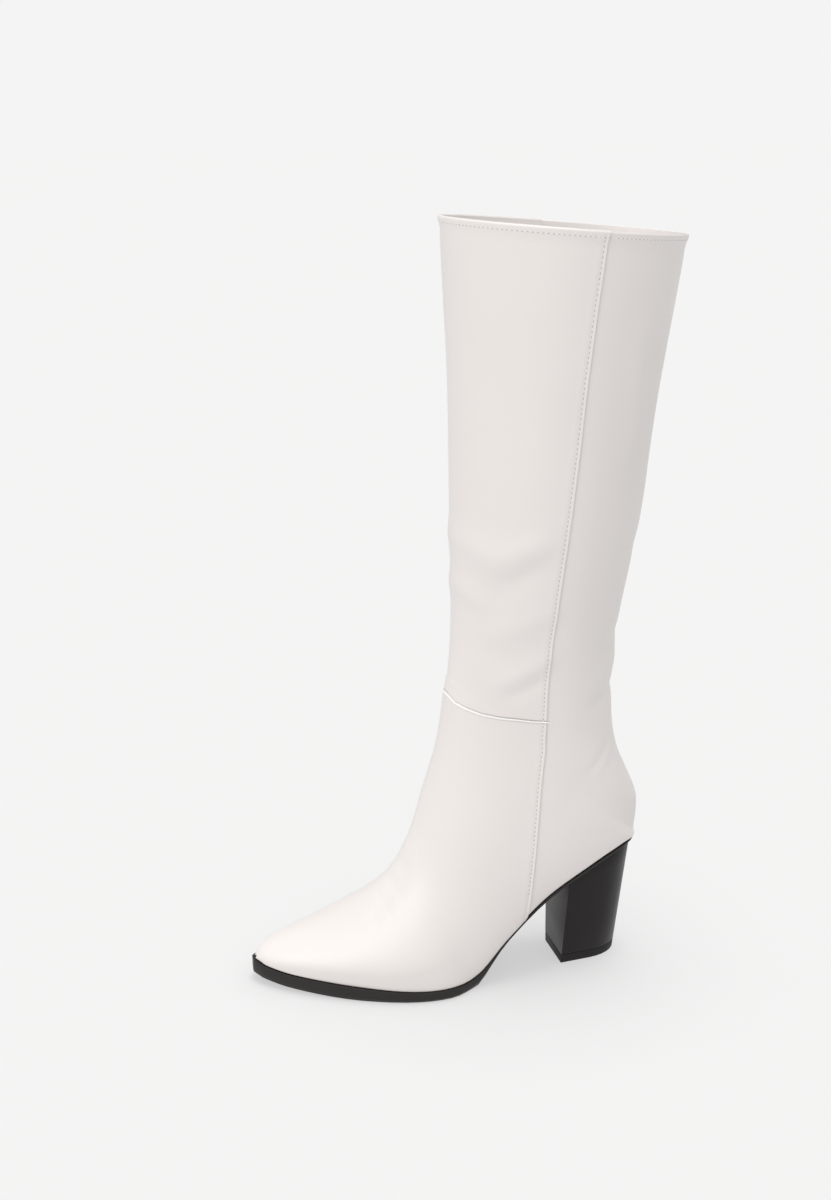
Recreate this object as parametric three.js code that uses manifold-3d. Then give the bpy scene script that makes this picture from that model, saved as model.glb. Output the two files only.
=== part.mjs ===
// Left block heel boot with a pointed toe, a plain shaft and a zip on the inner side.
// Millimetres, +Z up, the floor at z = 0. The toe points to -Y and the outer side of the foot to +X.
// "Ahead" is measured from the back of the heel seat towards the toe, so y = -ahead.
import * as THREE from "three";
import { mergeVertices } from "three/addons/utils/BufferGeometryUtils.js";
import Module from "manifold-3d";

const wasm = await Module();
wasm.setup();

// Driving sizes of the last and the shaft
const bootLength = 243;
const ballWidth = 80;
const seatHeight = 84;
const instepHeight = 100;
const shaftHeight = 370;
const shaftDepth = 142;
const shaftWidth = 109;
const seatLean = THREE.MathUtils.degToRad(4.5);
const toeSwing = THREE.MathUtils.degToRad(13.5);
const swingStart = 52;
const swingEase = 66;

// Leather, sole and insole
const wall = 1.8;
const panelLap = 0.8;
const clearance = 0.3;
const soleThickness = 7;
const toeSpring = 8;
const soleLip = 1.8;
const waistLip = 0.6;
const soleBevel = 1.4;
const insoleThickness = 2.4;
const insoleClearance = 0.7;

// Block heel: widths and lengths at the floor and at seat height
const heelTipThickness = 6;
const heelFloorWidth = 29;
const heelFloorLength = 40.8;
const heelFloorBack = 13.9;
const heelSeatWidth = 48.4;
const heelSeatLength = 46.8;
const heelSeatBack = 5;
const heelStraightShare = 0.5;
const tipBevel = 0.4;

// Piping over the instep, and the zip on the inner side
const pipingRadius = 1.2;
const pipingSink = 0.4;
const pipingTrim = 0.012;
const pipingOverrun = 0.03;
const zipTopHeight = 201;
const zipBottomHeight = 58;
const zipOpening = 7.6;
const tapeThickness = 0.8;
const tapeDepth = 1.5;
const tapeClearance = 0.6;
const teethWidth = 3.4;
const teethThickness = 1.4;
const teethRise = 0.4;
const sliderLength = 10;
const sliderWidth = 6;
const sliderThickness = 2.6;
const sliderDrop = 2;
const crownHeight = 2.6;
const crownBar = 1;
const crownPost = 1;
const pullLength = 19;
const pullWidth = 4.8;
const pullThickness = 1;
const eyeGap = 0.35;
const eyeWall = 0.8;

const bootHeight = seatHeight + shaftHeight;
const innerDepth = wall + panelLap;

// Sections of the foot from the toe to the back of the seat. Each joins a point on the ridge to one on the bed.
// ridge, bed: ahead, as shares of bootLength. spring: share of toeSpring. lift: share of the seat's rise.
// rise: ridge above the bed, share of instepHeight. outer, inner: widest half widths, and edgeOuter, edgeInner
// those of the bed, as shares of half the ballWidth. belly: where the section is widest, share of its height.
// roundTop, roundLow: exponents of its quarters. under: outsole thickness, share of soleThickness.
const footColumns = [
  "ridge", "bed", "spring", "lift", "rise", "outer", "inner",
  "edgeOuter", "edgeInner", "belly", "roundTop", "roundLow", "under",
];
const footRows = [
  [1.0, 1.003, 1.0, 0, 0.012, 0.05, 0.05, 0.045, 0.045, 0.4, 2.0, 2.0, 1.34],
  [0.99, 0.993, 0.93, 0, 0.055, 0.17, 0.17, 0.13, 0.13, 0.4, 2.0, 2.1, 1.34],
  [0.968, 0.975, 0.78, 0, 0.108, 0.31, 0.31, 0.235, 0.235, 0.35, 2.0, 2.2, 1.34],
  [0.925, 0.915, 0.55, 0, 0.172, 0.535, 0.535, 0.475, 0.475, 0.32, 2.0, 2.3, 1.33],
  [0.852, 0.798, 0.34, 0, 0.256, 0.82, 0.785, 0.795, 0.75, 0.3, 2.0, 2.3, 1.31],
  [0.76, 0.658, 0.06, 0, 0.4, 1.033, 0.975, 1.01, 0.95, 0.28, 1.9, 2.3, 1.12],
  [0.671, 0.548, 0, 0, 0.581, 1.033, 0.95, 0.985, 0.915, 0.28, 1.8, 2.3, 1.08],
  [0.61, 0.465, 0, 0.033, 0.796, 0.89, 0.855, 0.735, 0.7, 0.3, 1.8, 2.2, 1.22],
  [0.571, 0.382, 0, 0.292, 0.912, 0.83, 0.82, 0.62, 0.605, 0.32, 1.9, 2.1, 0.62],
  [0.539, 0.276, 0, 0.614, 0.931, 0.82, 0.81, 0.605, 0.62, 0.32, 2.0, 2.0, 0.56],
  [0.524, 0.156, 0, 0.848, 0.951, 0.795, 0.795, 0.64, 0.65, 0.32, 2.1, 2.0, 0.46],
  [0.518, 0.062, 0, 0.974, 0.98, 0.77, 0.77, 0.55, 0.53, 0.35, 2.2, 2.1, 0.4],
  [0.514, 0.032, 0, 1.0, 1.02, 0.76, 0.76, 0.36, 0.34, 0.37, 2.2, 2.25, 0.4],
  [0.511, 0.023, 0, 1.02, 1.045, 0.755, 0.755, 0.13, 0.12, 0.39, 2.2, 2.45, 0.4],
];

// Sections of the ankle and shaft, upwards. middle: ahead, share of bootLength. depth: share of shaftDepth.
// front, back: heights above the seat at the two ends, shares of shaftHeight. half: share of half the shaftWidth.
const shaftColumns = ["middle", "depth", "front", "back", "half", "belly", "roundTop", "roundLow"];
const shaftRows = [
  [0.2595, 0.855, 0.294, 0.034, 0.552, 0.41, 2.2, 2.5],
  [0.259, 0.844, 0.304, 0.0735, 0.552, 0.43, 2.2, 2.4],
  [0.285, 0.737, 0.339, 0.162, 0.575, 0.48, 2.1, 2.2],
  [0.291, 0.704, 0.396, 0.253, 0.618, 0.5, 2.1, 2.1],
  [0.286, 0.723, 0.491, 0.376, 0.732, 0.5, 2.0, 2.0],
  [0.264, 0.804, 0.6435, 0.55, 0.87, 0.5, 2.0, 2.0],
  [0.247, 0.88, 0.818, 0.757, 0.957, 0.5, 2.0, 2.0],
  [0.226, 1.0, 1.017, 0.983, 1.0, 0.5, 2.0, 2.0],
];

// Side seam: height as a share of bootHeight, ahead as a share of bootLength
const seamRows = [
  [0.09, 0.353], [0.163, 0.333], [0.216, 0.325], [0.278, 0.31], [0.335, 0.298], [0.419, 0.299],
  [0.491, 0.295], [0.601, 0.28], [0.747, 0.259], [0.826, 0.2485], [0.912, 0.232], [1.05, 0.199],
];

// Joint of vamp and shaft: ahead as a share of bootLength, height as a share of bootHeight
const jointRows = [
  [0.25, 0.3775], [0.329, 0.3806], [0.365, 0.3828], [0.406, 0.3844], [0.448, 0.3879],
  [0.479, 0.3932], [0.502, 0.3985], [0.515, 0.4065], [0.6, 0.42],
];

const leather = new THREE.MeshStandardMaterial({ color: 0xf0ece9, roughness: 0.45, metalness: 0 });
const trim = new THREE.MeshStandardMaterial({ color: 0xfaf8f6, roughness: 0.4, metalness: 0 });
const soleBlack = new THREE.MeshStandardMaterial({ color: 0x2b2828, roughness: 0.5, metalness: 0 });
const heelBlack = new THREE.MeshStandardMaterial({ color: 0x262324, roughness: 0.3, metalness: 0 });
const sock = new THREE.MeshStandardMaterial({ color: 0xe9e3dc, roughness: 0.7, metalness: 0 });
const tape = new THREE.MeshStandardMaterial({ color: 0xe4ded8, roughness: 0.85, metalness: 0 });
const zipWhite = new THREE.MeshStandardMaterial({ color: 0xf4f1ee, roughness: 0.3, metalness: 0.2 });

// Table rows as objects with named fields
function named(columns, rows) {
  return rows.map((row) => Object.fromEntries(columns.map((column, i) => [column, row[i]])));
}

const sections = [
  ...named(footColumns, footRows).map((row) => {
    const bedHeight = soleThickness + row.spring * toeSpring + row.lift * (seatHeight - soleThickness);
    return {
      ridgeAhead: row.ridge * bootLength,
      ridgeHeight: bedHeight + row.rise * instepHeight,
      bedAhead: row.bed * bootLength,
      bedHeight,
      outer: (row.outer * ballWidth) / 2,
      inner: (row.inner * ballWidth) / 2,
      edgeOuter: (row.edgeOuter * ballWidth) / 2,
      edgeInner: (row.edgeInner * ballWidth) / 2,
      belly: row.belly,
      roundTop: row.roundTop,
      roundLow: row.roundLow,
      under: row.under * soleThickness,
    };
  }),
  ...named(shaftColumns, shaftRows).map((row) => ({
    ridgeAhead: row.middle * bootLength + (row.depth * shaftDepth) / 2,
    ridgeHeight: seatHeight + row.front * shaftHeight,
    bedAhead: row.middle * bootLength - (row.depth * shaftDepth) / 2,
    bedHeight: seatHeight + row.back * shaftHeight,
    outer: (row.half * shaftWidth) / 2,
    inner: (row.half * shaftWidth) / 2,
    edgeOuter: 0,
    edgeInner: 0,
    belly: row.belly,
    roundTop: row.roundTop,
    roundLow: row.roundLow,
    under: 0,
  })),
];
const seatSection = footRows.length - 1;
const collarSection = sections.length - 1;

// Smooth value between the sections on either side of u, through both of them
function between(u, field) {
  const i = Math.min(Math.max(Math.floor(u), 0), collarSection - 1);
  const t = u - i;
  const at = (k) => sections[Math.min(Math.max(k, 0), collarSection)][field];
  const before = i > 0 ? at(i - 1) : 2 * at(0) - at(1);
  const after = i < collarSection - 1 ? at(i + 2) : 2 * at(i + 1) - at(i);
  return THREE.MathUtils.lerp(at(i), at(i + 1), t) + bow(before, at(i), at(i + 1), after, t);
}

// What a Catmull-Rom curve adds to the straight line between its two middle points
function bow(p0, p1, p2, p3, t) {
  const curve = 2 * p1 + (p2 - p0) * t + (2 * p0 - 5 * p1 + 4 * p2 - p3) * t * t
    + (3 * p1 - p0 - 3 * p2 + p3) * t * t * t;
  return curve / 2 - THREE.MathUtils.lerp(p1, p2, t);
}

// Straight steps between the rows of a two-column table
function interpolate(rows, value) {
  const last = rows.length - 1;
  let i = 0;
  while (i < last - 1 && value > rows[i + 1][0]) i += 1;
  const share = (value - rows[i][0]) / (rows[i + 1][0] - rows[i][0]);
  return THREE.MathUtils.lerp(rows[i][1], rows[i + 1][1], THREE.MathUtils.clamp(share, 0, 1));
}

// Sideways place of the foot's middle line: the seat leans outwards and the toe swings inwards
function middleLine(ahead) {
  const past = Math.max(ahead - swingStart, 0);
  return Math.tan(seatLean) * ahead - (Math.tan(toeSwing) * past * past) / (past + swingEase);
}

// Point of the last's surface. u counts sections, v runs from 0 on the ridge to 1 on the outer bed edge
// and to -1 on the inner one.
function surface(u, v) {
  const outerSide = v >= 0;
  const angle = Math.abs(v) * Math.PI;
  const half = between(u, outerSide ? "outer" : "inner");
  const edge = Math.max(between(u, outerSide ? "edgeOuter" : "edgeInner"), 0);
  const belly = between(u, "belly");
  const roundTop = 2 / between(u, "roundTop");
  const roundLow = 2 / between(u, "roundLow");
  const across = Math.max(Math.sin(angle), 0);
  const upper = angle <= Math.PI / 2;
  const side = upper ? half * across ** roundTop : edge + (half - edge) * across ** roundLow;
  const share = upper
    ? belly + (1 - belly) * Math.max(Math.cos(angle), 0) ** roundTop
    : belly * (1 - Math.max(-Math.cos(angle), 0) ** roundLow);
  const ahead = THREE.MathUtils.lerp(between(u, "bedAhead"), between(u, "ridgeAhead"), share);
  const height = THREE.MathUtils.lerp(between(u, "bedHeight"), between(u, "ridgeHeight"), share);
  return new THREE.Vector3((outerSide ? side : -side) + middleLine(ahead), -ahead, height);
}

// Outward normal of the surface
function normalAt(u, v) {
  const stepU = 0.02;
  const stepV = 0.004;
  const limit = Math.sign(v || 1) * Math.min(Math.abs(v), 1 - stepV);
  const low = Math.max(u - stepU, 0);
  const high = Math.min(u + stepU, collarSection);
  const along = surface(high, limit).sub(surface(low, limit));
  const round = surface(u, limit + stepV).sub(surface(u, limit - stepV));
  return round.cross(along).normalize();
}

// Point at a height over the leather's outer face, negative inside
function offsetPoint(u, v, out) {
  return surface(u, v).addScaledVector(normalAt(u, v), out);
}

// Value of x between low and high where a rising function passes zero
function rootOf(rising, low, high) {
  for (let i = 0; i < 40; i += 1) {
    const middle = (low + high) / 2;
    if (rising(middle) > 0) high = middle;
    else low = middle;
  }
  return (low + high) / 2;
}

// v of the side seam on the section u, side 1 outer or -1 inner, or of a line a distance behind the seam
function seamV(u, side, distance = 0) {
  const behind = (v) => {
    const point = surface(u, side * v);
    return point.y + interpolate(seamRows, point.z / bootHeight) * bootLength - distance;
  };
  return side * rootOf(behind, 0.02, 0.98);
}

// u on the side seam at a height
function seamU(height, side) {
  return rootOf((u) => surface(u, seamV(u, side)).z - height, seatSection - 5, collarSection);
}

// Solid from rings of points that run the same way round, closed by a fan at either end
function loft(rings) {
  const count = rings[0].length;
  const ends = [rings[0], rings[rings.length - 1]].map((ring) =>
    ring.reduce((sum, point) => sum.add(point), new THREE.Vector3()).divideScalar(count));
  const points = [...rings.flat(), ...ends];
  const first = points.length - 2;
  const index = [];
  rings.slice(1).forEach((ring, i) => {
    ring.forEach((point, j) => {
      const next = (j + 1) % count;
      const a = i * count + j;
      const b = i * count + next;
      index.push(a, b, b + count, a, b + count, a + count);
    });
  });
  for (let j = 0; j < count; j += 1) {
    const next = (j + 1) % count;
    const last = (rings.length - 1) * count;
    index.push(first, next, j, first + 1, last + j, last + next);
  }
  const geometry = new THREE.BufferGeometry();
  const positions = new Float32Array(points.flatMap((point) => point.toArray()));
  geometry.setAttribute("position", new THREE.BufferAttribute(positions, 3));
  geometry.setIndex(index);
  return solidOf(geometry);
}

// Closed geometry as a solid, with its faces turned outwards and empty triangles left out
function solidOf(geometry) {
  geometry.deleteAttribute("normal");
  geometry.deleteAttribute("uv");
  const merged = mergeVertices(geometry, 1e-4);
  const corners = merged.index.array;
  const kept = [];
  for (let i = 0; i < corners.length; i += 3) {
    const [a, b, c] = [corners[i], corners[i + 1], corners[i + 2]];
    if (a !== b && b !== c && c !== a) kept.push(a, b, c);
  }
  const build = (triVerts) => new wasm.Manifold(new wasm.Mesh({
    numProp: 3,
    vertProperties: merged.attributes.position.array,
    triVerts: new Uint32Array(triVerts),
  }));
  const solid = build(kept);
  if (solid.volume() > 0) return solid;
  return build(kept.reverse());
}

// Named mesh of a solid
function meshOf(name, solid, material) {
  const { numProp, vertProperties, triVerts } = solid.getMesh();
  const positions = new Float32Array((vertProperties.length / numProp) * 3);
  for (let i = 0; i < positions.length / 3; i += 1) {
    positions.set(vertProperties.subarray(i * numProp, i * numProp + 3), i * 3);
  }
  const geometry = new THREE.BufferGeometry();
  geometry.setAttribute("position", new THREE.BufferAttribute(positions, 3));
  geometry.setIndex(new THREE.BufferAttribute(new Uint32Array(triVerts), 1));
  geometry.computeVertexNormals();
  const mesh = new THREE.Mesh(geometry, material);
  mesh.name = name;
  return mesh;
}

// Evenly spread values from first to last
function spread(first, last, count) {
  return Array.from({ length: count + 1 }, (_, i) => first + ((last - first) * i) / count);
}

const sideSteps = 14;
const stepsPerSection = 2;
const zipSteps = 24;
const dropBelowBed = 4;
const riseOverCollar = 6;

// Ring of the upper's skin on one section, a distance inside the outer face. Where drop is above zero its
// underside reaches that far below the bed, which opens the wall there when it is cut away.
function skinRing(u, depth, drop) {
  const half = spread(0, 1, sideSteps);
  const lowered = new THREE.Vector3(0, 0, -drop);
  const onSide = (side) => half.map((share, j) => {
    const point = offsetPoint(u, side * share, -depth);
    return j === sideSteps ? point.add(lowered) : point;
  });
  const inner = onSide(-1).reverse();
  inner.pop();
  const outer = onSide(1);
  const underside = new THREE.Vector3().addVectors(outer[sideSteps], inner[0]).divideScalar(2);
  return [...outer, underside, ...inner];
}

// Closed form of the boot's outside, a distance inside the leather's outer face
function outside(depth) {
  const toe = depth > 0 ? 0.5 : 0;
  const steps = Math.round((collarSection - toe) * stepsPerSection);
  return loft(spread(toe, collarSection, steps).map((u) => skinRing(u, depth, 0)));
}

// Closed form of the hollow, which passes the collar and the bed
function hollow(depth) {
  const toe = 1.5;
  const steps = Math.round((collarSection - toe) * stepsPerSection);
  const rings = spread(toe, collarSection, steps).map((u) => {
    const share = THREE.MathUtils.clamp(seatSection + 0.5 - u, 0, 1);
    return skinRing(u, depth, dropBelowBed * share);
  });
  const top = rings[rings.length - 1].map((point) => point.clone().setZ(point.z + riseOverCollar));
  return loft([...rings, top]);
}

// Everything ahead of the side seams, as a plate cut along the seam line and as wide as the boot
function aheadOfSeam() {
  const margin = 60;
  const outline = new THREE.Shape();
  seamRows.forEach(([height, ahead], i) => {
    const x = ahead * bootLength;
    const y = height * bootHeight;
    if (i === 0) outline.moveTo(x, y - margin);
    outline.lineTo(x, y);
  });
  outline.lineTo(bootLength + margin, bootHeight + margin);
  outline.lineTo(bootLength + margin, -margin);
  const width = ballWidth + shaftWidth;
  const plate = new THREE.ExtrudeGeometry(outline, { depth: width, bevelEnabled: false });
  // The outline's x becomes ahead and its y becomes height
  plate.applyMatrix4(new THREE.Matrix4().makeBasis(
    new THREE.Vector3(0, -1, 0), new THREE.Vector3(0, 0, 1), new THREE.Vector3(-1, 0, 0),
  ));
  plate.translate(width / 2, 0, 0);
  return solidOf(plate);
}

// Round rod along a path of surface points, each given with its outward normal
function rod(path, radius) {
  const sides = 8;
  return loft(path.map(({ point, normal }, i) => {
    const before = path[Math.max(i - 1, 0)].point;
    const after = path[Math.min(i + 1, path.length - 1)].point;
    const along = after.clone().sub(before).normalize();
    const side = along.clone().cross(normal).normalize();
    return spread(0, 2 * Math.PI, sides).slice(0, sides).map((angle) => point.clone()
      .addScaledVector(normal, radius * Math.cos(angle))
      .addScaledVector(side, radius * Math.sin(angle)));
  }));
}

// Path of the joint between vamp and shaft: from the front edge of the zip's opening over the front to the
// outer side seam, short of both by a trim
function jointPath(trimEnds) {
  const stepsEachSide = 18;
  const height = (point) => point.z - interpolate(jointRows, -point.y / bootLength) * bootHeight;
  const place = (v) => {
    const u = rootOf((value) => height(surface(value, v)), seatSection - 5, seatSection + 5);
    return { point: offsetPoint(u, v, pipingSink), normal: normalAt(u, v) };
  };
  const seamPlace = (side, distance) => {
    const reach = (v) => {
      const { point } = place(side * v);
      return point.y + interpolate(seamRows, point.z / bootHeight) * bootLength - distance;
    };
    return rootOf(reach, 0.3, 0.6);
  };
  const inner = seamPlace(-1, -zipOpening / 2) - trimEnds;
  const outer = seamPlace(1, 0) - trimEnds;
  return spread(-inner, outer, 2 * stepsEachSide).map(place);
}

// Strip along the inner side seam, between the ends of the zip's opening and short of them by a trim. It spans
// from one distance behind the seam line to another, and from one depth inside the leather to another.
function zipStrip({ trimEnds, from, to, deep, shallow }) {
  const stations = spread(seamU(zipBottomHeight, -1), seamU(zipTopHeight, -1), zipSteps);
  stations[0] = seamU(zipBottomHeight + trimEnds, -1);
  stations[zipSteps] = seamU(zipTopHeight - trimEnds, -1);
  return loft(stations.map((u) => {
    const edges = [seamV(u, -1, from), seamV(u, -1, to)];
    return [
      offsetPoint(u, edges[0], -deep),
      offsetPoint(u, edges[1], -deep),
      offsetPoint(u, edges[1], -shallow),
      offsetPoint(u, edges[0], -shallow),
    ];
  }));
}

// Place and directions at a height on the inner side seam: up the seam, back along the leather, and out of it
function seamFrame(height) {
  const u = seamU(height, -1);
  const v = seamV(u, -1);
  const out = normalAt(u, v);
  const step = 0.1;
  const up = surface(u + step, seamV(u + step, -1)).sub(surface(u, v)).normalize();
  const back = out.clone().cross(up).normalize();
  up.crossVectors(back, out).normalize();
  return { origin: surface(u, v), up, back, out };
}

// Box in a seam frame, from low to high values along back, up and out
function framedBox(frame, low, high) {
  const size = high.map((value, i) => value - low[i]);
  const box = new THREE.BoxGeometry(...size);
  box.translate(...high.map((value, i) => (value + low[i]) / 2));
  return solidOf(placeIn(frame, box));
}

// Geometry moved from back, up and out values into its place on the seam
function placeIn(frame, geometry) {
  const basis = new THREE.Matrix4().makeBasis(frame.back, frame.up, frame.out);
  return geometry.applyMatrix4(basis.setPosition(frame.origin));
}

function makeUpper() {
  const front = outside(0).intersect(aheadOfSeam());
  const cutDepth = innerDepth + 3;
  const zipSlot = zipStrip({
    trimEnds: 0, from: -zipOpening / 2, to: zipOpening / 2, deep: cutDepth, shallow: -cutDepth,
  });
  return outside(panelLap)
    .add(front)
    .subtract(hollow(innerDepth))
    .subtract(rod(jointPath(-pipingOverrun), pipingRadius + clearance))
    .subtract(zipSlot);
}

function makePiping() {
  return rod(jointPath(pipingTrim), pipingRadius);
}

// Point across a section of the sole
function across(ahead, side, height) {
  return new THREE.Vector3(side + middleLine(ahead), -ahead, height);
}

// How fast the bed's half width grows with ahead at a section
function edgeSlope(u, edge) {
  const step = 0.05;
  const run = between(u + step, "bedAhead") - between(u - step, "bedAhead");
  return (between(u + step, edge) - between(u - step, edge)) / run;
}

// Half width of the bed at a section, drawn in at right angles to its outline
function bedHalf(u, edge, inset) {
  return Math.max(between(u, edge), 0) - inset * Math.hypot(1, edgeSlope(u, edge));
}

// Sections where the sole's lip and edge turn from those of the forepart into those of the waist
const waistSections = [6, 8];
const edgeShare = 0.7;
const waistEdgeShare = 0.45;

// The outsole at a section: its top under the bed, and a lip at right angles to the bed's outline that
// narrows behind the ball
function soleSection(u) {
  const waistShare = THREE.MathUtils.smoothstep(u, ...waistSections);
  const lip = THREE.MathUtils.lerp(soleLip, waistLip, waistShare);
  const slope = (edgeSlope(u, "edgeOuter") + edgeSlope(u, "edgeInner")) / 2;
  const beside = lip / Math.hypot(1, slope);
  const top = between(u, "bedHeight") - clearance;
  return {
    ahead: between(u, "bedAhead") - beside * slope,
    top,
    bottom: Math.max(top - between(u, "under"), 0),
    outer: Math.max(between(u, "edgeOuter"), 0) + beside,
    inner: Math.max(between(u, "edgeInner"), 0) + beside,
    waistShare,
  };
}

// Sections of the sole from the toe to the back of the seat
const soleStations = spread(0, seatSection, 4 * seatSection);

function makeOutsole() {
  return loft(soleStations.map((u) => {
    const { ahead, top, bottom, outer, inner, waistShare } = soleSection(u);
    const bevel = Math.min(soleBevel * (1 + waistShare), outer * 0.4);
    const edge = top - THREE.MathUtils.lerp(edgeShare, waistEdgeShare, waistShare) * (top - bottom);
    return [
      across(ahead, outer, top), across(ahead, -inner, top), across(ahead, -inner, edge),
      across(ahead, -inner + bevel, bottom), across(ahead, outer - bevel, bottom),
      across(ahead, outer, edge),
    ];
  }));
}

function makeInsole() {
  const inset = innerDepth + insoleClearance;
  return loft(spread(2, seatSection - 1.7, 40).map((u) => {
    const ahead = between(u, "bedAhead");
    const low = between(u, "bedHeight");
    const outer = bedHalf(u, "edgeOuter", inset);
    const inner = bedHalf(u, "edgeInner", inset);
    return [
      across(ahead, outer, low), across(ahead, -inner, low),
      across(ahead, -inner, low + insoleThickness), across(ahead, outer, low + insoleThickness),
    ];
  }));
}

// D-shaped outline of the heel at a height: straight breast and sides, round back
function heelRing(height, inset) {
  const share = height / seatHeight;
  const half = THREE.MathUtils.lerp(heelFloorWidth, heelSeatWidth, share) / 2 - inset;
  const length = THREE.MathUtils.lerp(heelFloorLength, heelSeatLength, share) - 2 * inset;
  const back = THREE.MathUtils.lerp(heelFloorBack, heelSeatBack, share) + inset;
  const round = length * (1 - heelStraightShare);
  const arc = spread(0, Math.PI, 14).map((angle) =>
    across(back + round * (1 - Math.sin(angle)), half * Math.cos(angle), height));
  return [across(back + length, half, height), ...arc, across(back + length, -half, height)];
}

// Space over the underside of the outsole, which trims the top of the heel
function overSeat() {
  const reach = ballWidth;
  const rings = soleStations.filter((u) => u >= seatSection - 6).map((u) => {
    const { ahead, bottom } = soleSection(u);
    const low = bottom - clearance;
    return [
      across(ahead, reach, low), across(ahead, -reach, low),
      across(ahead, -reach, low + seatHeight), across(ahead, reach, low + seatHeight),
    ];
  });
  const last = rings[rings.length - 1];
  const behind = last.map((point) => point.clone().setY(point.y + reach));
  return loft([...rings, behind]);
}

function makeHeel() {
  const rings = spread(heelTipThickness + clearance, seatHeight, 4).map((height) => heelRing(height, 0));
  return loft(rings).subtract(overSeat());
}

function makeHeelTip() {
  return loft([heelRing(0, tipBevel), heelRing(tipBevel, 0), heelRing(heelTipThickness, 0)]);
}

function makeTape(side) {
  const edge = zipOpening / 2 - tapeClearance;
  const middle = teethWidth / 2 + clearance;
  const span = side < 0 ? { from: -edge, to: -middle } : { from: middle, to: edge };
  return zipStrip({
    ...span, trimEnds: clearance, deep: tapeDepth + tapeThickness, shallow: tapeDepth,
  });
}

function makeTeeth() {
  const shallow = tapeDepth - teethRise;
  return zipStrip({
    trimEnds: clearance, from: -teethWidth / 2, to: teethWidth / 2, deep: shallow + teethThickness, shallow,
  });
}

const sliderFrame = seamFrame(zipTopHeight - sliderLength / 2 - sliderDrop);
const sliderBase = clearance + teethRise - tapeDepth;
const sliderTop = sliderBase + sliderThickness;
const crownTop = sliderTop + crownHeight;
const crownSpan = sliderWidth * 0.75;
const hingeUp = -sliderLength * 0.1;
const hingeOut = crownTop - crownBar / 2;

// Round bar across the seam on the hinge's line
function hingeBar(radius, length) {
  const bar = new THREE.CylinderGeometry(radius, radius, length, 16);
  bar.rotateZ(Math.PI / 2);
  bar.translate(0, hingeUp, hingeOut);
  return solidOf(placeIn(sliderFrame, bar));
}

function makeSlider() {
  const halfWidth = sliderWidth / 2;
  const halfLength = sliderLength / 2;
  const endHalf = halfWidth * 0.7;
  const widest = halfLength * 0.3;
  const outline = new THREE.Shape();
  outline.moveTo(-endHalf, -halfLength);
  outline.lineTo(endHalf, -halfLength);
  outline.lineTo(halfWidth, widest);
  outline.lineTo(endHalf, halfLength);
  outline.lineTo(-endHalf, halfLength);
  outline.lineTo(-halfWidth, widest);
  const body = new THREE.ExtrudeGeometry(outline, { depth: sliderThickness, bevelEnabled: false });
  body.translate(0, 0, sliderBase);
  const bar = crownBar / 2;
  const postMargin = 0.2;
  const posts = [-crownSpan / 2, crownSpan / 2 - crownPost].map((low) => framedBox(
    sliderFrame,
    [low, hingeUp - bar - postMargin, sliderTop - 2 * postMargin],
    [low + crownPost, hingeUp + bar + postMargin, crownTop + postMargin],
  ));
  const crown = hingeBar(bar, crownSpan - crownPost).add(posts[0]).add(posts[1]);
  return solidOf(placeIn(sliderFrame, body)).add(crown);
}

// Flat tab that hangs from a small round eye on the crown's bar
function makePull() {
  const bore = crownBar / 2 + eyeGap;
  const outer = bore + eyeWall;
  const eyeWidth = crownSpan - 2 * crownPost - 2 * clearance;
  const eye = hingeBar(outer, eyeWidth).subtract(hingeBar(bore, crownSpan));
  const top = hingeUp - outer + eyeWall / 2;
  const neck = hingeUp - outer - 1;
  const shoulder = neck - 2;
  const foot = hingeUp - pullLength;
  const corner = 1;
  const half = pullWidth / 2;
  const outline = new THREE.Shape();
  outline.moveTo(-eyeWidth / 2, top);
  outline.lineTo(-eyeWidth / 2, neck);
  outline.lineTo(-half, shoulder);
  outline.lineTo(-half, foot + corner);
  outline.lineTo(-half + corner, foot);
  outline.lineTo(half - corner, foot);
  outline.lineTo(half, foot + corner);
  outline.lineTo(half, shoulder);
  outline.lineTo(eyeWidth / 2, neck);
  outline.lineTo(eyeWidth / 2, top);
  const hole = new THREE.Path();
  hole.absellipse(0, foot + pullWidth * 0.8, 1, 1.6, 0, 2 * Math.PI, true);
  outline.holes.push(hole);
  const tab = new THREE.ExtrudeGeometry(outline, {
    depth: pullThickness, bevelEnabled: false, curveSegments: 5,
  });
  tab.translate(0, 0, hingeOut - pullThickness / 2);
  return eye.add(solidOf(placeIn(sliderFrame, tab)));
}

const boot = new THREE.Group();
boot.add(
  meshOf("upper", makeUpper(), leather),
  meshOf("ankle_piping", makePiping(), trim),
  meshOf("outsole", makeOutsole(), soleBlack),
  meshOf("heel", makeHeel(), heelBlack),
  meshOf("heel_tip", makeHeelTip(), soleBlack),
  meshOf("insole", makeInsole(), sock),
  meshOf("zip_tape_front", makeTape(-1), tape),
  meshOf("zip_tape_back", makeTape(1), tape),
  meshOf("zip_teeth", makeTeeth(), zipWhite),
  meshOf("zip_slider", makeSlider(), zipWhite),
  meshOf("zip_pull", makePull(), zipWhite),
);

// The origin is at the middle of the boot's footprint
const bounds = new THREE.Box3().setFromObject(boot);
const middle = bounds.getCenter(new THREE.Vector3());
boot.position.set(-middle.x, -middle.y, 0);

export default boot;
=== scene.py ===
"""Left block heel boot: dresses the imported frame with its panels, seams, zip, sole and heel."""

import math

import bpy
import numpy as np
from bpy.props import FloatProperty, FloatVectorProperty, PointerProperty
from mathutils import Matrix, Vector


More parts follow.
